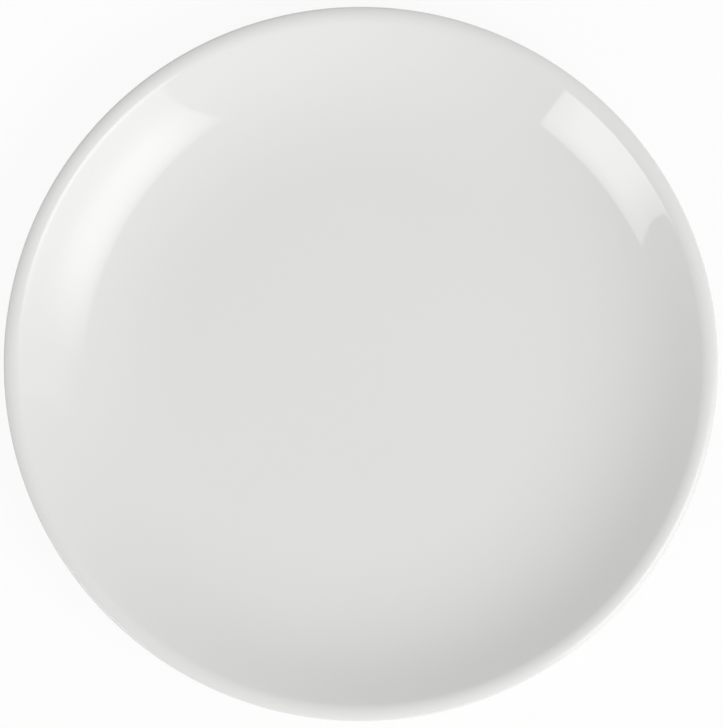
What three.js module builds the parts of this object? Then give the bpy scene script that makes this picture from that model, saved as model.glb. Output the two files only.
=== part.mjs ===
// A coupe plate of glazed porcelain: one fired body that stands on a low foot ring, and the two coats
// of glaze that are fused to it. One coat covers the face, the lip and the back, and the other covers
// the base inside the foot ring. The foot's bearing band between them is bare.
// Millimetres, +Z up. The origin is the middle of the plate, on the table.

import * as THREE from "three";

// Overall sizes, over the glaze
const PLATE_DIAMETER = 230;
const RIM_HEIGHT = 22; // from the table to the crest of the lip
const BASE_THICKNESS = 4.7; // through the middle of the plate

// Face: a flat well that sweeps up to the lip in one curve, with no separate rim
const WELL_DIAMETER = 125;
const WALL_ANGLE = 33; // degrees, the steepest slope, just inside the lip
const WELL_TANGENT = 0.585; // share of the wall's width that its curve leaves along the well
const WALL_TANGENT = 0.25; // share of the wall's width that its curve arrives along the slope

// Lip: rolls over from the face to a low crown, falls to a round edge and is tucked in below
const ROLL_RADIUS = 5; // from the face up to the crest
const CROWN_RADIUS = 4.2; // from the crest down to the edge
const CROWN_FALL = 33; // degrees, the slope where the crown meets the edge
const EDGE_RADIUS = 1.05;
const THROAT_RADIUS = 8; // hollow under the lip
const LIP_TUCK = 10; // degrees, the slope of the lip's underside where the hollow starts

// Back: follows the face at an even wall thickness
const BACK_ANGLE = 7; // degrees, the slope where it leaves the foot
const BACK_TANGENT = 0.5; // share of the back's width that its curve leaves along that slope
const THROAT_TANGENT = 0.3; // share of the back's width that its curve arrives at the hollow

// Foot ring
const FOOT_DIAMETER = 136; // at the middle of the bearing band
const FOOT_BAND = 3; // width of the flat band on the table
const FOOT_EDGE = 0.7; // radius of the band's two corners
const FOOT_DRAFT = 15; // degrees, the lean of the foot's flanks
const FOOT_BARE = 0.4; // bare flank above a corner, up to the glaze line
const FOOT_FLANK = 0.3; // glazed flank above the glaze line
const FOOT_FILLET = 1.6; // between a flank and the base or the back

// Glaze
const GLAZE_THICKNESS = 0.3;
const BOND_LINE = 0.05; // between the glaze and the body

// Facets: round the plate, and along each curve of the section
const FACETS = { round: 60, sweep: 7, ease: 3, edge: 2 };

const QUARTER = Math.PI / 2;
const wallAngle = THREE.MathUtils.degToRad(WALL_ANGLE);
const crownFall = THREE.MathUtils.degToRad(CROWN_FALL);
const lipTuck = THREE.MathUtils.degToRad(LIP_TUCK);
const backAngle = THREE.MathUtils.degToRad(BACK_ANGLE);
const footDraft = THREE.MathUtils.degToRad(FOOT_DRAFT);

// A section is drawn with the distance from the plate's axis as x and the height as y.
const point = (radius, height) => new THREE.Vector2(radius, height);
const heading = (angle) => point(Math.cos(angle), Math.sin(angle));
const along = (start, direction, distance) => start.clone().addScaledVector(direction, distance);

function arc(centre, radius, from, to) {
  return new THREE.EllipseCurve(centre.x, centre.y, radius, radius, from, to, to < from);
}

// One smooth curve between two points, each with its heading and the share of the width that it keeps to it.
function sweep(start, startAngle, startShare, end, endAngle, endShare) {
  const width = Math.abs(end.x - start.x);
  const leaving = along(start, heading(startAngle), startShare * width);
  const arriving = along(end, heading(endAngle), -endShare * width);
  return new THREE.CubicBezierCurve(start, leaving, arriving, end);
}

// The foot's outer side (1) or inner side (-1), from its corner up to the fillet.
// The glaze stands proud of the bare flank.
function footSide(side) {
  const up = point(side * Math.sin(footDraft), Math.cos(footDraft));
  const out = point(side * Math.cos(footDraft), -Math.sin(footDraft));
  const cornerCentre = point(FOOT_DIAMETER / 2 + (side * FOOT_BAND) / 2, FOOT_EDGE);
  const bareTop = along(along(cornerCentre, out, FOOT_EDGE), up, FOOT_BARE);
  const glazeLine = along(bareTop, out, GLAZE_THICKNESS + BOND_LINE);
  const flankTop = along(glazeLine, up, FOOT_FLANK);
  const filletCentre = along(flankTop, out, FOOT_FILLET);
  return { cornerCentre, glazeLine, flankTop, filletCentre };
}

const footInside = footSide(-1);
const footOutside = footSide(1);
const baseHeight = footInside.filletCentre.y + FOOT_FILLET;
const wellHeight = baseHeight + BASE_THICKNESS;

// Glazed surface of the base, from the axis out to the glaze line inside the foot.
function baseLine() {
  const { filletCentre, flankTop, glazeLine } = footInside;
  return [
    [new THREE.LineCurve(point(0, baseHeight), point(filletCentre.x, baseHeight)), 1],
    [arc(filletCentre, FOOT_FILLET, QUARTER, footDraft), FACETS.ease],
    [new THREE.LineCurve(flankTop, glazeLine), 1],
  ];
}

// Bare surface of the foot, from its inner corner across the bearing band to its outer corner.
function bandLine() {
  const inner = footInside.cornerCentre;
  const outer = footOutside.cornerCentre;
  return [
    [arc(inner, FOOT_EDGE, Math.PI + footDraft, 3 * QUARTER), FACETS.ease],
    [new THREE.LineCurve(point(inner.x, 0), point(outer.x, 0)), 1],
    [arc(outer, FOOT_EDGE, 3 * QUARTER, 4 * QUARTER - footDraft), FACETS.ease],
  ];
}

// Glazed surface of the back, the lip and the face, from the glaze line outside the foot over to the axis.
function coatLine() {
  const { glazeLine, flankTop, filletCentre } = footOutside;
  const crownEnd = QUARTER - crownFall;
  const toEdge = heading(crownEnd).multiplyScalar(CROWN_RADIUS - EDGE_RADIUS);
  const crownCentre = point(PLATE_DIAMETER / 2 - EDGE_RADIUS - toEdge.x, RIM_HEIGHT - CROWN_RADIUS);
  const edgeCentre = crownCentre.clone().add(toEdge);
  const rollCentre = point(crownCentre.x, RIM_HEIGHT - ROLL_RADIUS);
  const throatCentre = along(edgeCentre, heading(lipTuck - QUARTER), EDGE_RADIUS + THROAT_RADIUS);
  const fillet = arc(filletCentre, FOOT_FILLET, Math.PI - footDraft, QUARTER + backAngle);
  const throat = arc(throatCentre, THROAT_RADIUS, QUARTER + wallAngle, QUARTER + lipTuck);
  const roll = arc(rollCentre, ROLL_RADIUS, QUARTER, QUARTER + wallAngle);
  const backStart = fillet.getPoint(1);
  const backEnd = throat.getPoint(0);
  const wallTop = roll.getPoint(1);
  const wellEdge = point(WELL_DIAMETER / 2, wellHeight);
  const back = sweep(backStart, backAngle, BACK_TANGENT, backEnd, wallAngle, THROAT_TANGENT);
  const wall = sweep(wallTop, Math.PI + wallAngle, WALL_TANGENT, wellEdge, Math.PI, WELL_TANGENT);
  return [
    [new THREE.LineCurve(glazeLine, flankTop), 1],
    [fillet, FACETS.ease],
    [back, FACETS.sweep],
    [throat, FACETS.ease],
    [arc(edgeCentre, EDGE_RADIUS, lipTuck - QUARTER, 0), FACETS.ease],
    [arc(edgeCentre, EDGE_RADIUS, 0, crownEnd), FACETS.edge],
    [arc(crownCentre, CROWN_RADIUS, crownEnd, QUARTER), FACETS.ease],
    [roll, FACETS.ease],
    [wall, FACETS.sweep],
    [new THREE.LineCurve(wellEdge, point(0, wellHeight)), 1],
  ];
}

// Points along a line of curves that run on smoothly, sunk to a depth below it.
// The material lies on the left of the line.
function sunk(line, depth) {
  const points = [];
  for (const [curve, steps] of line) {
    for (let i = points.length ? 1 : 0; i <= steps; i++) {
      const tangent = curve.getTangent(i / steps);
      points.push(along(curve.getPoint(i / steps), point(-tangent.y, tangent.x), depth));
    }
  }
  return points;
}

function turned(name, section, material) {
  const geometry = new THREE.LatheGeometry(section, FACETS.round).rotateX(QUARTER);
  const mesh = new THREE.Mesh(geometry, material);
  mesh.name = name;
  return mesh;
}

function porcelainBody() {
  const skin = GLAZE_THICKNESS + BOND_LINE;
  const section = [...sunk(baseLine(), skin), ...sunk(bandLine(), 0), ...sunk(coatLine(), skin)];
  const bisque = new THREE.MeshStandardMaterial({ color: 0xdedad2, roughness: 0.75, metalness: 0 });
  return turned("porcelain_body", section, bisque);
}

function glazeCoat() {
  const section = [...sunk(coatLine(), GLAZE_THICKNESS).reverse(), ...sunk(coatLine(), 0)];
  const glaze = new THREE.MeshStandardMaterial({ color: 0xe4e4e1, roughness: 0.08, metalness: 0 });
  return turned("glaze_coat", section, glaze);
}

function baseGlaze() {
  const section = [...sunk(baseLine(), 0), ...sunk(baseLine(), GLAZE_THICKNESS).reverse()];
  const glaze = new THREE.MeshStandardMaterial({ color: 0xe4e4e1, roughness: 0.1, metalness: 0 });
  return turned("base_glaze", section, glaze);
}

const plate = new THREE.Group();
plate.add(porcelainBody(), glazeCoat(), baseGlaze());

export default plate;
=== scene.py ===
"""A white glazed coupe plate, lit and seen from straight above.

The three pieces are turned from the plate's section: the fired body with its bare foot, the coat of glaze
over the face, the lip and the back, and the glaze on the base inside the foot. Lengths are in metres, in the
plate's own frame.
"""

import cmath
import math

import bmesh
import bpy
from mathutils import Euler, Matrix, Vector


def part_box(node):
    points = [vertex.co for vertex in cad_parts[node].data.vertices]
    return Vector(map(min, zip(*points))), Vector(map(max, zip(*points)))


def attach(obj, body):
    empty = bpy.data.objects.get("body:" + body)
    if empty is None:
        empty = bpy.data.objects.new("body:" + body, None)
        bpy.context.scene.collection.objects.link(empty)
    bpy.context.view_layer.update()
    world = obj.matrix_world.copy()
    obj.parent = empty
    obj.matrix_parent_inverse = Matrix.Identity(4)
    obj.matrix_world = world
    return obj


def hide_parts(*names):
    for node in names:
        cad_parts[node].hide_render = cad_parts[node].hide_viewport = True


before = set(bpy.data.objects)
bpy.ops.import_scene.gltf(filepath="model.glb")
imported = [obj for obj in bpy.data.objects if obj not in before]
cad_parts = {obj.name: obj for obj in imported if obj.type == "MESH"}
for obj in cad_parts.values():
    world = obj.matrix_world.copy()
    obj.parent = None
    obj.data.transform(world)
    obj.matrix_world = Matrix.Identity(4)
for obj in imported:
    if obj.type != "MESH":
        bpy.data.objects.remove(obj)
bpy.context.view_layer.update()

MM = 0.001
QUARTER = math.pi / 2

# Sizes of the plate, over the glaze; the lip's roll and crown are a touch flatter than the solid's
PLATE_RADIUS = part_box("glaze_coat")[1].x
RIM_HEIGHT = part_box("glaze_coat")[1].z
BASE_THICKNESS = 4.7 * MM
WELL_RADIUS = 62.5 * MM
WALL_ANGLE = math.radians(33)
WELL_TANGENT = 0.585
WALL_TANGENT = 0.25
ROLL_RADIUS = 5.6 * MM
CROWN_RADIUS = 5.2 * MM
CROWN_FALL = math.radians(20.2)
EDGE_RADIUS = 1.05 * MM
THROAT_RADIUS = 8 * MM
LIP_TUCK = math.radians(10)
BACK_ANGLE = math.radians(7)
BACK_TANGENT = 0.5
THROAT_TANGENT = 0.3
FOOT_RADIUS = 68 * MM
FOOT_BAND = 3 * MM
FOOT_EDGE = 0.7 * MM
FOOT_DRAFT = math.radians(15)
FOOT_BARE = 0.4 * MM
FOOT_FLANK = 0.3 * MM
FOOT_FILLET = 1.6 * MM
GLAZE_THICKNESS = 0.3 * MM
BOND_LINE = 0.05 * MM

# Facets of the turned pieces
ROUND_STEPS = 288
FLAT_STEPS = 10
BAND_STEPS = 2
SWEEP_STEPS = 36
LIP_STEPS = 14
EASE_STEPS = 8
GLAZE_END_STEPS = 4

# A point of the section nearer to the axis than this lies on it
ON_AXIS = 1e-9

# Framing: the plate's outline as the photograph shows it, in pixels of its frame
IMAGE_SIZE = (722, 728)
OUTLINE_CENTRE = (360.85, 364.03)
OUTLINE_RADIUS = 357.2
CAMERA_HEIGHT = 1.3
SENSOR_IN_MM = 36


# Section of the plate: each point is a complex number, its distance from the axis plus its height times 1j


def line(start, end, steps=1):
    """Points along a straight line, each with its heading."""
    heading = (end - start) / abs(end - start)
    return [(start + (end - start) * i / steps, heading) for i in range(steps + 1)]


def arc(centre, radius, start, stop, steps):
    """Points along an arc from one angle to another, each with its heading."""
    turn = 1j if stop > start else -1j
    angles = [start + (stop - start) * i / steps for i in range(steps + 1)]
    return [(centre + cmath.rect(radius, a), turn * cmath.rect(1, a)) for a in angles]


def sweep(start, start_angle, start_share, end, end_angle, end_share, steps):
    """Points along one smooth curve, each with its heading.

    Each end has its angle, and the share of the curve's width for which the curve is drawn along that angle.
    """
    width = abs(end.real - start.real)
    leaving = start + cmath.rect(start_share * width, start_angle)
    arriving = end - cmath.rect(end_share * width, end_angle)
    found = []
    for i in range(steps + 1):
        t = i / steps
        u = 1 - t
        place = u**3 * start + 3 * u * u * t * leaving + 3 * u * t * t * arriving + t**3 * end
        pull = u * u * (leaving - start) + 2 * u * t * (arriving - leaving) + t * t * (end - arriving)
        found.append((place, pull / abs(pull)))
    return found


def chain(*curves):
    """The curves as one line, with each shared end once."""
    return [*curves[0], *(step for curve in curves[1:] for step in curve[1:])]


def sunk(steps, depth):
    """Points at a depth below a line that has the material on its left."""
    return [place + 1j * heading * depth for place, heading in steps]


def foot_side(side):
    """Corner, glaze line, flank's top and fillet's centre on a side of the foot: 1 is outer and -1 inner."""
    up = complex(side * math.sin(FOOT_DRAFT), math.cos(FOOT_DRAFT))
    out = complex(side * math.cos(FOOT_DRAFT), -math.sin(FOOT_DRAFT))
    corner = complex(FOOT_RADIUS + side * FOOT_BAND / 2, FOOT_EDGE)
    glaze_line = corner + out * (FOOT_EDGE + GLAZE_THICKNESS + BOND_LINE) + up * FOOT_BARE
    flank_top = glaze_line + up * FOOT_FLANK
    return corner, glaze_line, flank_top, flank_top + out * FOOT_FILLET


INNER_CORNER, INNER_GLAZE_LINE, INNER_FLANK_TOP, INNER_FILLET = foot_side(-1)
OUTER_CORNER, OUTER_GLAZE_LINE, OUTER_FLANK_TOP, OUTER_FILLET = foot_side(1)
BASE_HEIGHT = INNER_FILLET.imag + FOOT_FILLET
WELL_HEIGHT = BASE_HEIGHT + BASE_THICKNESS
CROWN_END = QUARTER - CROWN_FALL
CROWN_TO_EDGE = cmath.rect(CROWN_RADIUS - EDGE_RADIUS, CROWN_END)
CROWN = complex(PLATE_RADIUS - EDGE_RADIUS - CROWN_TO_EDGE.real, RIM_HEIGHT - CROWN_RADIUS)
EDGE = CROWN + CROWN_TO_EDGE


def base_line():
    """Glazed base, from the axis out to the glaze line inside the foot."""
    return chain(
        line(complex(0, BASE_HEIGHT), complex(INNER_FILLET.real, BASE_HEIGHT), FLAT_STEPS),
        arc(INNER_FILLET, FOOT_FILLET, QUARTER, FOOT_DRAFT, EASE_STEPS),
        line(INNER_FLANK_TOP, INNER_GLAZE_LINE),
    )


def band_line():
    """Bare foot, from its inner corner across the bearing band to its outer corner."""
    return chain(
        arc(INNER_CORNER, FOOT_EDGE, math.pi + FOOT_DRAFT, 3 * QUARTER, EASE_STEPS),
        line(complex(INNER_CORNER.real, 0), complex(OUTER_CORNER.real, 0), BAND_STEPS),
        arc(OUTER_CORNER, FOOT_EDGE, 3 * QUARTER, 4 * QUARTER - FOOT_DRAFT, EASE_STEPS),
    )


def coat_line():
    """Glazed back, lip and face, from the glaze line outside the foot over to the axis."""
    crest = complex(CROWN.real, RIM_HEIGHT - ROLL_RADIUS)
    hollow = EDGE + cmath.rect(EDGE_RADIUS + THROAT_RADIUS, LIP_TUCK - QUARTER)
    fillet = arc(OUTER_FILLET, FOOT_FILLET, math.pi - FOOT_DRAFT, QUARTER + BACK_ANGLE, EASE_STEPS)
    throat = arc(hollow, THROAT_RADIUS, QUARTER + WALL_ANGLE, QUARTER + LIP_TUCK, EASE_STEPS)
    roll = arc(crest, ROLL_RADIUS, QUARTER, QUARTER + WALL_ANGLE, LIP_STEPS)
    back_start, back_end, wall_top = fillet[-1][0], throat[0][0], roll[-1][0]
    well_edge = complex(WELL_RADIUS, WELL_HEIGHT)
    return chain(
        line(OUTER_GLAZE_LINE, OUTER_FLANK_TOP),
        fillet,
        sweep(back_start, BACK_ANGLE, BACK_TANGENT, back_end, WALL_ANGLE, THROAT_TANGENT, SWEEP_STEPS),
        throat,
        arc(EDGE, EDGE_RADIUS, LIP_TUCK - QUARTER, 0, LIP_STEPS),
        arc(EDGE, EDGE_RADIUS, 0, CROWN_END, LIP_STEPS),
        arc(CROWN, CROWN_RADIUS, CROWN_END, QUARTER, LIP_STEPS),
        roll,
        sweep(wall_top, math.pi + WALL_ANGLE, WALL_TANGENT, well_edge, math.pi, WELL_TANGENT, SWEEP_STEPS),
        line(well_edge, complex(0, WELL_HEIGHT), FLAT_STEPS),
    )


def glaze_end(last, first):
    """Points of the round edge in which a coat of glaze turns from one of its surfaces to the other."""
    centre, reach = (last + first) / 2, (first - last) / 2
    angles = [math.pi * i / GLAZE_END_STEPS for i in range(1, GLAZE_END_STEPS)]
    return [centre - reach * cmath.rect(1, a) for a in angles]


# Pieces


def turned(name, section, material, nodes):
    """A closed piece turned about the axis from a section that starts and ends on it."""
    mesh = bmesh.new()
    angles = [2 * math.pi * i / ROUND_STEPS for i in range(ROUND_STEPS)]
    rings = []
    for place in section:
        radius, height = place.real, place.imag
        if radius < ON_AXIS:
            rings.append([mesh.verts.new((0, 0, height))])
            continue
        rings.append([mesh.verts.new((radius * math.cos(a), radius * math.sin(a), height)) for a in angles])
    for here, beyond in zip(rings, rings[1:]):
        for i in range(ROUND_STEPS):
            near = [here[i % len(here)], here[(i + 1) % len(here)]]
            far = [beyond[(i + 1) % len(beyond)], beyond[i % len(beyond)]]
            face = mesh.faces.new(list(dict.fromkeys(near + far)))
            face.smooth = True
    data = bpy.data.meshes.new(name)
    mesh.to_mesh(data)
    mesh.free()
    data.materials.append(material)
    piece = bpy.data.objects.new(name, data)
    bpy.context.scene.collection.objects.link(piece)
    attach(piece, "root")
    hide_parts(*nodes)
    return piece


def fired_body(material):
    skin = GLAZE_THICKNESS + BOND_LINE
    section = [*sunk(base_line(), skin), *sunk(band_line(), 0), *sunk(coat_line(), skin)]
    return turned("fired_body", section, material, ["porcelain_body"])


def face_and_back_glaze(material):
    inner = sunk(coat_line(), GLAZE_THICKNESS)[::-1]
    outer = sunk(coat_line(), 0)
    section = [*inner, *glaze_end(inner[-1], outer[0]), *outer]
    return turned("face_and_back_glaze", section, material, ["glaze_coat"])


def foot_recess_glaze(material):
    outer = sunk(base_line(), 0)
    inner = sunk(base_line(), GLAZE_THICKNESS)[::-1]
    section = [*outer, *glaze_end(outer[-1], inner[0]), *inner]
    return turned("foot_recess_glaze", section, material, ["base_glaze"])


# Materials

# Numbers of the colour sockets of a Mix node, whose names repeat for each kind of value
MIX_COLOURS_IN = (6, 7)
MIX_COLOUR_OUT = 2


def put(tree, kind, values=None, links=None, **settings):
    """A new node with its settings, its sockets' values and what feeds its sockets."""
    node = tree.nodes.new(kind)
    for name, value in settings.items():
        setattr(node, name, value)
    for name, value in (values or {}).items():
        node.inputs[name].default_value = value
    for name, source in (links or {}).items():
        tree.links.new(source, node.inputs[name])
    return node


def effect(name, sockets_in, sockets_out):
    """An empty node group with named sockets: its tree, the sockets it is given and the sockets it makes."""
    tree = bpy.data.node_groups.new(name, "ShaderNodeTree")
    for label, value in sockets_in.items():
        socket = tree.interface.new_socket(label, in_out="INPUT", socket_type="NodeSocketFloat")
        socket.default_value = value
    for label, kind in sockets_out.items():
        tree.interface.new_socket(label, in_out="OUTPUT", socket_type=kind)
    return tree, put(tree, "NodeGroupInput").outputs, put(tree, "NodeGroupOutput").inputs


def maths(tree, operation, first, second):
    node = put(tree, "ShaderNodeMath", operation=operation)
    for socket, value in zip(node.inputs, (first, second)):
        if isinstance(value, (int, float)):
            socket.default_value = value
        else:
            tree.links.new(value, socket)
    return node.outputs[0]


def noise_of_length(tree, length, detail):
    """Noise over the piece's own coordinates, whose lumps are about this long."""
    place = put(tree, "ShaderNodeTexCoord").outputs["Object"]
    scale = maths(tree, "DIVIDE", 1, length)
    noise = put(tree, "ShaderNodeTexNoise", {"Detail": detail}, {"Vector": place, "Scale": scale})
    return noise.outputs["Fac"]


def fired_waves():
    """Height of the slow waves and of the finer peel that a fired surface keeps, in metres."""
    tree, given, made = effect(
        "fired_waves",
        {"Wave Length": 0.03, "Wave Height": 1e-5, "Peel Length": 0.003, "Peel Height": 1e-6},
        {"Height": "NodeSocketFloat"},
    )
    slow = noise_of_length(tree, given["Wave Length"], detail=1.0)
    waves = maths(tree, "MULTIPLY", slow, given["Wave Height"])
    fine = noise_of_length(tree, given["Peel Length"], detail=2.0)
    peel = maths(tree, "MULTIPLY", fine, given["Peel Height"])
    tree.links.new(maths(tree, "ADD", waves, peel), made["Height"])
    return tree


def kiln_specks():
    """Mask of the few pinhead specks that iron in the clay leaves."""
    tree, given, made = effect(
        "kiln_specks",
        {"Spacing": 0.02, "Size": 0.0004, "Share": 0.3},
        {"Mask": "NodeSocketFloat"},
    )
    place = put(tree, "ShaderNodeTexCoord").outputs["Object"]
    scale = maths(tree, "DIVIDE", 1, given["Spacing"])
    cells = put(tree, "ShaderNodeTexVoronoi", None, {"Vector": place, "Scale": scale})
    luck = put(tree, "ShaderNodeSeparateColor", None, {"Color": cells.outputs["Color"]}).outputs
    reach = maths(tree, "MULTIPLY", given["Size"], luck["Green"])
    distance = maths(tree, "MULTIPLY", cells.outputs["Distance"], given["Spacing"])
    dot = put(
        tree,
        "ShaderNodeMapRange",
        {"From Min": 0.0, "To Min": 1.0, "To Max": 0.0},
        {"Value": distance, "From Max": reach},
        interpolation_type="SMOOTHSTEP",
    ).outputs["Result"]
    there = maths(tree, "LESS_THAN", luck["Red"], given["Share"])
    tree.links.new(maths(tree, "MULTIPLY", dot, there), made["Mask"])
    return tree


def firing_cloud():
    """Mask of the slow drift in tone over a fired surface, from 0 to 1."""
    tree, given, made = effect("firing_cloud", {"Cloud Length": 0.08}, {"Mask": "NodeSocketFloat"})
    tree.links.new(noise_of_length(tree, given["Cloud Length"], detail=3.0), made["Mask"])
    return tree


def effect_in(tree, name, values):
    """One of the shared effects, placed in a material with its own values."""
    return put(tree, "ShaderNodeGroup", values, node_tree=EFFECTS[name]).outputs[0]


def mixed(tree, mask, first, second):
    """First colour where the mask is 0 and second where it is 1. A colour is four numbers or a socket."""
    node = put(tree, "ShaderNodeMix", None, {"Factor": mask}, data_type="RGBA")
    for number, colour in zip(MIX_COLOURS_IN, (first, second)):
        if isinstance(colour, tuple):
            node.inputs[number].default_value = colour
        else:
            tree.links.new(colour, node.inputs[number])
    return node.outputs[MIX_COLOUR_OUT]


def ranged(tree, value, low, high):
    """A mask from 0 to 1 spread between two values."""
    spread = put(tree, "ShaderNodeMapRange", {"To Min": low, "To Max": high}, {"Value": value})
    return spread.outputs["Result"]


def fired_material(name, light, dark, speck, cloud, specks, waves, sheen, ior):
    """A fired surface: two close tones, specks, and a gloss that follows the tone."""
    material = bpy.data.materials.new(name)
    material.use_nodes = True
    tree = material.node_tree
    shader = tree.nodes["Principled BSDF"]
    tone = effect_in(tree, "firing_cloud", cloud)
    dots = effect_in(tree, "kiln_specks", specks)
    height = effect_in(tree, "fired_waves", waves)
    colour = mixed(tree, dots, mixed(tree, tone, light, dark), speck)
    bump = put(tree, "ShaderNodeBump", {"Strength": 1.0, "Distance": 1.0}, {"Height": height})
    tree.links.new(colour, shader.inputs["Base Color"])
    tree.links.new(ranged(tree, tone, *sheen), shader.inputs["Roughness"])
    tree.links.new(bump.outputs["Normal"], shader.inputs["Normal"])
    shader.inputs["IOR"].default_value = ior
    return material


def white_gloss_glaze():
    return fired_material(
        "white_gloss_glaze",
        light=(0.795, 0.795, 0.780, 1),
        dark=(0.780, 0.781, 0.768, 1),
        speck=(0.50, 0.47, 0.42, 1),
        cloud={"Cloud Length": 0.09},
        specks={"Spacing": 0.035, "Size": 0.0007, "Share": 0.3},
        waves={"Wave Length": 0.03, "Wave Height": 1e-5, "Peel Length": 0.004, "Peel Height": 4e-7},
        sheen=(0.03, 0.05),
        ior=1.5,
    )


def recess_glaze():
    return fired_material(
        "recess_glaze",
        light=(0.785, 0.785, 0.768, 1),
        dark=(0.765, 0.766, 0.752, 1),
        speck=(0.46, 0.43, 0.38, 1),
        cloud={"Cloud Length": 0.05},
        specks={"Spacing": 0.022, "Size": 0.0008, "Share": 0.35},
        waves={"Wave Length": 0.02, "Wave Height": 3e-5, "Peel Length": 0.003, "Peel Height": 2e-6},
        sheen=(0.07, 0.13),
        ior=1.5,
    )


def bare_porcelain():
    return fired_material(
        "bare_porcelain",
        light=(0.70, 0.675, 0.625, 1),
        dark=(0.64, 0.61, 0.56, 1),
        speck=(0.38, 0.33, 0.27, 1),
        cloud={"Cloud Length": 0.012},
        specks={"Spacing": 0.006, "Size": 0.0005, "Share": 0.3},
        waves={"Wave Length": 0.002, "Wave Height": 1e-5, "Peel Length": 0.0003, "Peel Height": 6e-6},
        sheen=(0.55, 0.75),
        ior=1.5,
    )


EFFECTS = {"fired_waves": fired_waves(), "kiln_specks": kiln_specks(), "firing_cloud": firing_cloud()}
fired_body(bare_porcelain())
face_and_back_glaze(white_gloss_glaze())
foot_recess_glaze(recess_glaze())


# Studio

WHITE = (1, 1, 1, 1)


def seen_directly(tree):
    """1 for rays that show the background itself: the camera's, and those that gloss or glass sends on."""
    path = put(tree, "ShaderNodeLightPath").outputs
    mirrored = maths(tree, "MAXIMUM", path["Is Glossy Ray"], path["Is Transmission Ray"])
    return maths(tree, "MAXIMUM", path["Is Camera Ray"], mirrored)


def white_floor(half, colour, whiteness):
    """A pale table. It shows as plain white to the share whiteness, and as lit and shaded for the rest."""
    data = bpy.data.meshes.new("table_top")
    corners = [(-half, -half, 0), (half, -half, 0), (half, half, 0), (-half, half, 0)]
    data.from_pydata(corners, [], [(0, 1, 2, 3)])
    material = bpy.data.materials.new("white_table")
    material.use_nodes = True
    tree = material.node_tree
    tree.nodes.clear()
    paint = put(tree, "ShaderNodeBsdfDiffuse", {"Color": colour})
    glow = put(tree, "ShaderNodeEmission", {"Color": WHITE, "Strength": 1.0})
    share = maths(tree, "MULTIPLY", seen_directly(tree), whiteness)
    both = put(tree, "ShaderNodeMixShader", None, {"Fac": share})
    tree.links.new(paint.outputs["BSDF"], both.inputs[1])
    tree.links.new(glow.outputs["Emission"], both.inputs[2])
    put(tree, "ShaderNodeOutputMaterial", None, {"Surface": both.outputs["Shader"]})
    material.cycles.emission_sampling = "NONE"
    data.materials.append(material)
    floor = bpy.data.objects.new("table_top", data)
    bpy.context.scene.collection.objects.link(floor)


def soft_room(bearing, dim, bright):
    """Soft light from all round, brightest at a bearing in degrees, and a white room to look at."""
    world = bpy.data.worlds.new("white_room")
    world.use_nodes = True
    tree = world.node_tree
    tree.nodes.clear()
    way = put(tree, "ShaderNodeTexCoord").outputs["Generated"]
    turn = math.radians(bearing)
    towards = put(tree, "ShaderNodeVectorMath", None, {0: way}, operation="DOT_PRODUCT")
    towards.inputs[1].default_value = (math.cos(turn), math.sin(turn), 0)
    ambient = put(
        tree,
        "ShaderNodeMapRange",
        {"From Min": -1.0, "From Max": 1.0, "To Min": dim, "To Max": bright},
        {"Value": towards.outputs["Value"]},
    )
    sources = {"Factor": seen_directly(tree), "A": ambient.outputs["Result"]}
    level = put(tree, "ShaderNodeMix", {"B": 1.0}, sources, data_type="FLOAT")
    glow = put(tree, "ShaderNodeBackground", {"Color": WHITE}, {"Strength": level.outputs[0]})
    put(tree, "ShaderNodeOutputWorld", None, {"Surface": glow.outputs["Background"]})
    bpy.context.scene.world = world


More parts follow.
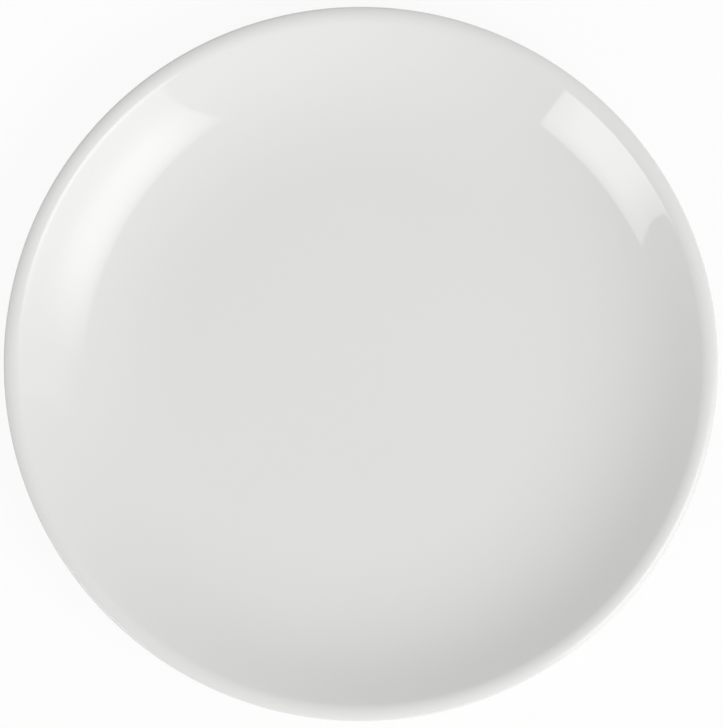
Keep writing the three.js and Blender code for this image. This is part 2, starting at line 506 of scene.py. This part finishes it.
def softbox(name, azimuth, zenith, distance, nod, roll, size, base, spots):
    """A flat soft lamp at a bearing round the plate and an angle from straight up, in degrees.

    It faces the plate, nodded towards upright and rolled. Its front glows at a base level plus its spots, and
    a level of 1 is white. A spot has its level, its middle in shares of the front's width and height, and how
    far from there it is still full and then gone, across and up, in metres.
    """
    lamp = bpy.data.lights.new(name, "AREA")
    lamp.shape = "RECTANGLE"
    lamp.size, lamp.size_y = size
    lamp.energy = math.pi * size[0] * size[1]
    lamp.use_nodes = True
    tree = lamp.node_tree
    place = put(tree, "ShaderNodeNewGeometry").outputs["Parametric"]
    shares = put(tree, "ShaderNodeSeparateXYZ", None, {"Vector": place}).outputs
    level = base
    for spot in spots:
        glow = spot["level"]
        across_and_up = zip("XY", size, spot["middle"], spot["full"], spot["gone"])
        for axis, length, centre, inner, outer in across_and_up:
            aside = maths(tree, "MULTIPLY", maths(tree, "SUBTRACT", shares[axis], centre), length)
            fade = put(
                tree,
                "ShaderNodeMapRange",
                {"From Min": inner, "From Max": outer, "To Min": 1.0, "To Max": 0.0},
                {"Value": maths(tree, "ABSOLUTE", aside, 0)},
                interpolation_type="SMOOTHSTEP",
            )
            glow = maths(tree, "MULTIPLY", fade.outputs["Result"], glow)
        level = maths(tree, "ADD", glow, level)
    tree.links.new(level, tree.nodes["Emission"].inputs["Strength"])
    holder = bpy.data.objects.new(name, lamp)
    bpy.context.scene.collection.objects.link(holder)
    turn, lean = math.radians(azimuth), math.radians(zenith)
    holder.location = (
        distance * math.sin(lean) * math.cos(turn),
        distance * math.sin(lean) * math.sin(turn),
        distance * math.cos(lean),
    )
    holder.rotation_euler = Euler((lean + math.radians(nod), 0, turn + QUARTER), "XYZ")
    holder.rotation_euler.rotate_axis("Z", math.radians(roll))


def overhead_camera():
    """Straight above the plate, framed so that its outline lies where the photograph has it."""
    data = bpy.data.cameras.new("overhead_camera")
    pixels_per_metre = OUTLINE_RADIUS / PLATE_RADIUS
    depth = CAMERA_HEIGHT - EDGE.imag
    data.sensor_width = SENSOR_IN_MM
    data.lens = pixels_per_metre * depth * SENSOR_IN_MM / max(IMAGE_SIZE)
    camera = bpy.data.objects.new("overhead_camera", data)
    right = (IMAGE_SIZE[0] / 2 - OUTLINE_CENTRE[0]) / pixels_per_metre
    up = (OUTLINE_CENTRE[1] - IMAGE_SIZE[1] / 2) / pixels_per_metre
    camera.location = (right, up, CAMERA_HEIGHT)
    bpy.context.scene.collection.objects.link(camera)
    bpy.context.scene.camera = camera


white_floor(half=6.0, colour=(0.92, 0.92, 0.91, 1), whiteness=0.9)
soft_room(bearing=334.5, dim=0.28, bright=0.98)
softbox(
    "key_softbox",
    azimuth=335.6,
    zenith=50.2,
    distance=1.2,
    nod=20,
    roll=-3,
    size=(1.10, 1.24),
    base=0.0,
    spots=[
        {"level": 3.05, "middle": (0.345, 0.69), "full": (0.13, 0.12), "gone": (0.57, 0.59)},
        {"level": 0.43, "middle": (0.5, 0.3), "full": (1.0, 0.5), "gone": (2.0, 0.75)},
    ],
)
softbox(
    "side_softbox",
    azimuth=219.5,
    zenith=57.2,
    distance=3.0,
    nod=0,
    roll=8,
    size=(1.23, 1.12),
    base=1.8,
    spots=[{"level": 2.6, "middle": (0.53, 0.35), "full": (0.15, 0.20), "gone": (0.80, 0.85)}],
)
overhead_camera()
bpy.context.scene.view_settings.view_transform = "Standard"
